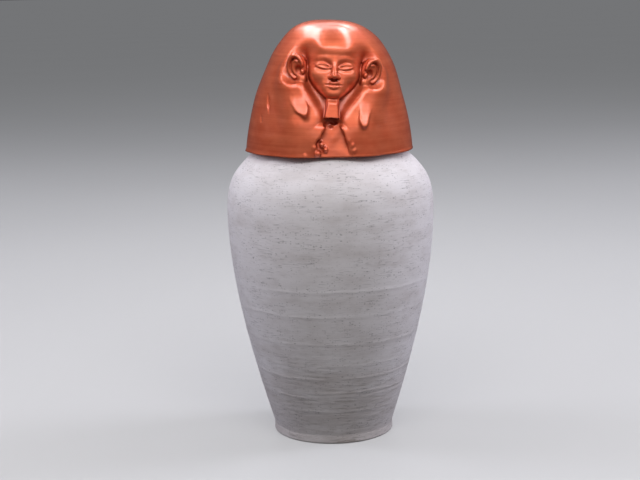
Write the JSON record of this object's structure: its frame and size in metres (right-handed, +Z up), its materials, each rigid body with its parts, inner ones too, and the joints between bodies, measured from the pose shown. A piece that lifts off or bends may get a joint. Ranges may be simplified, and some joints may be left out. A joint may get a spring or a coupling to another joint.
{
  "type": "canopic jar",
  "caption": "Printed copy of a canopic jar: a hollow round-shouldered jar on a narrow foot, and a loose domed lid carved as a wigged head with a narrow beard.",
  "frame": {"origin": "centre of the jar's underside, on the surface that it stands on", "axes": "+Z up through the jar and the lid; the face looks along -Y; +X is on the right of someone who looks at the face"},
  "size_m": [0.1, 0.1, 0.2005],
  "materials": {
    "marbled_plastic": "matt pale grey marbled plastic with fine dark specks and level print lines",
    "copper_plastic": "silky copper-coloured plastic with fine level print lines"
  },
  "bodies": {
    "root": {"jar": "marbled_plastic", "lid": "copper_plastic"}
  },
  "joints": []
}
